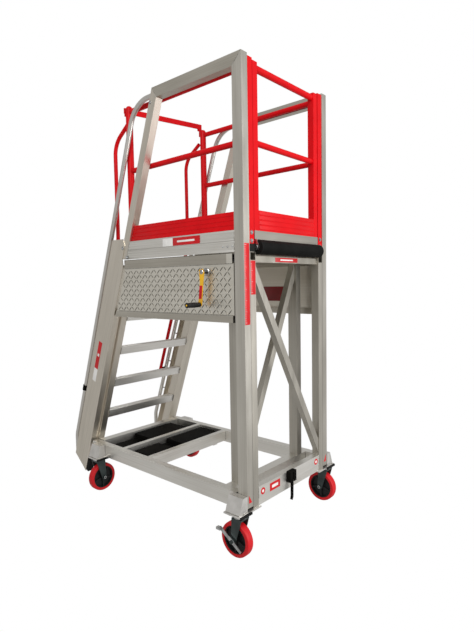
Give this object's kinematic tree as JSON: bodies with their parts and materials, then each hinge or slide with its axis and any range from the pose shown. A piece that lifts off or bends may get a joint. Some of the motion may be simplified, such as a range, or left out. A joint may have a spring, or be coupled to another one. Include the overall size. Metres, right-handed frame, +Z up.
{
  "type": "mobile access platform",
  "caption": "wind-up height-adjustable work platform on a castered, ballasted base with ladder, handrails, guard rails, front roller and folding entry bar",
  "frame": {"origin": "on the floor under the middle of the whole object's box, standing on its casters with the platform fully down", "axes": "+X to the front end with the roller, away from the ladder; +Y to the far side, away from the crank; +Z up"},
  "size_m": [1.843, 1.083, 2.7618],
  "materials": {
    "aluminium": "mill-finish extruded aluminium",
    "plated": "zinc plated steel",
    "red_paint": "gloss signal-red powder coat",
    "black_rubber": "matt black rubber",
    "black_paint": "satin black paint on steel",
    "fork_steel": "dark coated steel",
    "tread": "cast red polyurethane",
    "hub": "black moulded nylon",
    "crank_paint": "yellow painted steel",
    "shaft_steel": "bare steel"
  },
  "bodies": {
    "chassis": {"base_side_rails": "aluminium", "base_cross_members": "aluminium", "ballast_slabs": "black_paint", "caster_brackets": "aluminium", "bracket_pads": "black_rubber", "fixed_posts": "aluminium", "cross_braces": "aluminium", "ladder_stiles": "aluminium", "ladder_steps": "aluminium", "ring_frame": "aluminium", "side_panels": "aluminium", "panel_bottom_rails": "aluminium", "stop_buffers": "black_rubber", "drive_bearings": "shaft_steel", "drive_chain": "shaft_steel", "hook_block": "black_paint"},
    "platform": {"masts": "aluminium", "mast_racks": "shaft_steel", "guard_rails": "aluminium", "guard_legs": "aluminium", "outer_stiles": "aluminium", "stile_feet": "black_rubber", "handrails": "aluminium", "handrail_collars": "black_paint", "handrail_standoffs": "plated", "deck_side_beams": "aluminium", "deck_beams": "aluminium", "deck_plate": "aluminium", "toe_boards": "red_paint", "roller_brackets": "plated", "corner_posts": "red_paint", "rear_posts": "red_paint", "side_rails": "red_paint", "grab_rails": "red_paint", "rail_brackets": "red_paint", "front_guard": "red_paint", "frame_bolts": "plated"},
    "cross_shaft": {"cross_shaft": "shaft_steel"},
    "crank": {"crank_shaft": "shaft_steel", "crank_arm": "crank_paint"},
    "crank_grip": {"crank_grip": "black_rubber"},
    "roller": {"front_roller": "black_rubber"},
    "entry_bar": {"entry_bar": "red_paint"},
    "hook": {"hook_lever": "black_paint"},
    "caster_nf": {"fork_nf": "fork_steel"},
    "wheel_nf": {"tyre_nf": "tread", "hub_nf": "hub"},
    "brake_nf": {"brake_lever_nf": "plated"},
    "caster_ff": {"fork_ff": "fork_steel"},
    "wheel_ff": {"tyre_ff": "tread", "hub_ff": "hub"},
    "brake_ff": {"brake_lever_ff": "plated"},
    "caster_nr": {"fork_nr": "fork_steel"},
    "wheel_nr": {"tyre_nr": "tread", "hub_nr": "hub"},
    "caster_fr": {"fork_fr": "fork_steel"},
    "wheel_fr": {"tyre_fr": "tread", "hub_fr": "hub"}
  },
  "joints": [
    {"name": "platform_lift", "type": "slide", "parent": "chassis", "child": "platform", "axis": [0, 0, 1], "range_m": [0, 0.6]},
    {"name": "cross_shaft_turn", "type": "hinge", "parent": "chassis", "child": "cross_shaft", "pos_m": [0.7752, 0.0225, 1.656], "axis": [0, -1, 0], "range_deg": [0, 1563]},
    {"name": "crank_turn", "type": "hinge", "parent": "chassis", "child": "crank", "pos_m": [0.5875, -0.4025, 1.585], "axis": [0, -1, 0], "range_deg": [0, 3126]},
    {"name": "crank_grip_spin", "type": "hinge", "parent": "crank", "child": "crank_grip", "pos_m": [0.5715, -0.4875, 1.399], "axis": [0, 1, 0], "continuous": true},
    {"name": "roller_spin", "type": "hinge", "parent": "platform", "child": "roller", "pos_m": [0.8815, 0.0225, 1.714], "axis": [0, 1, 0], "continuous": true},
    {"name": "entry_bar_lift", "type": "hinge", "parent": "platform", "child": "entry_bar", "pos_m": [-0.2065, -0.3275, 2.688], "axis": [1, 0, 0], "range_deg": [0, 95]},
    {"name": "hook_swing", "type": "hinge", "parent": "chassis", "child": "hook", "pos_m": [0.8945, 0.0015, 0.345], "axis": [0, -1, 0], "range_deg": [0, 80]},
    {"name": "swivel_nf", "type": "hinge", "parent": "chassis", "child": "caster_nf", "pos_m": [0.8455, -0.4305, 0.235], "axis": [0, 0, 1], "continuous": true},
    {"name": "wheel_spin_nf", "type": "hinge", "parent": "caster_nf", "child": "wheel_nf", "pos_m": [0.8205, -0.4305, 0.1], "axis": [0, 1, 0], "continuous": true},
    {"name": "brake_pedal_nf", "type": "hinge", "parent": "caster_nf", "child": "brake_nf", "pos_m": [0.8205, -0.4785, 0.1], "axis": [0, -1, 0], "range_deg": [0, 14]},
    {"name": "swivel_ff", "type": "hinge", "parent": "chassis", "child": "caster_ff", "pos_m": [0.8455, 0.4755, 0.235], "axis": [0, 0, 1], "continuous": true},
    {"name": "wheel_spin_ff", "type": "hinge", "parent": "caster_ff", "child": "wheel_ff", "pos_m": [0.8205, 0.4755, 0.1], "axis": [0, 1, 0], "continuous": true},
    {"name": "brake_pedal_ff", "type": "hinge", "parent": "caster_ff", "child": "brake_ff", "pos_m": [0.8205, 0.5235, 0.1], "axis": [0, -1, 0], "range_deg": [0, 14]},
    {"name": "swivel_nr", "type": "hinge", "parent": "chassis", "child": "caster_nr", "pos_m": [-0.5355, -0.4305, 0.235], "axis": [0, 0, 1], "continuous": true},
    {"name": "wheel_spin_nr", "type": "hinge", "parent": "caster_nr", "child": "wheel_nr", "pos_m": [-0.5355, -0.4055, 0.1], "axis": [1, 0, 0], "continuous": true},
    {"name": "swivel_fr", "type": "hinge", "parent": "chassis", "child": "caster_fr", "pos_m": [-0.5355, 0.4755, 0.235], "axis": [0, 0, 1], "continuous": true},
    {"name": "wheel_spin_fr", "type": "hinge", "parent": "caster_fr", "child": "wheel_fr", "pos_m": [-0.5105, 0.4755, 0.1], "axis": [0, 1, 0], "continuous": true}
  ],
  "couplings": [
    {"joint": "cross_shaft_turn", "follows": "platform_lift", "rad_per_m": 45.455},
    {"joint": "crank_turn", "follows": "platform_lift", "rad_per_m": 90.909}
  ]
}
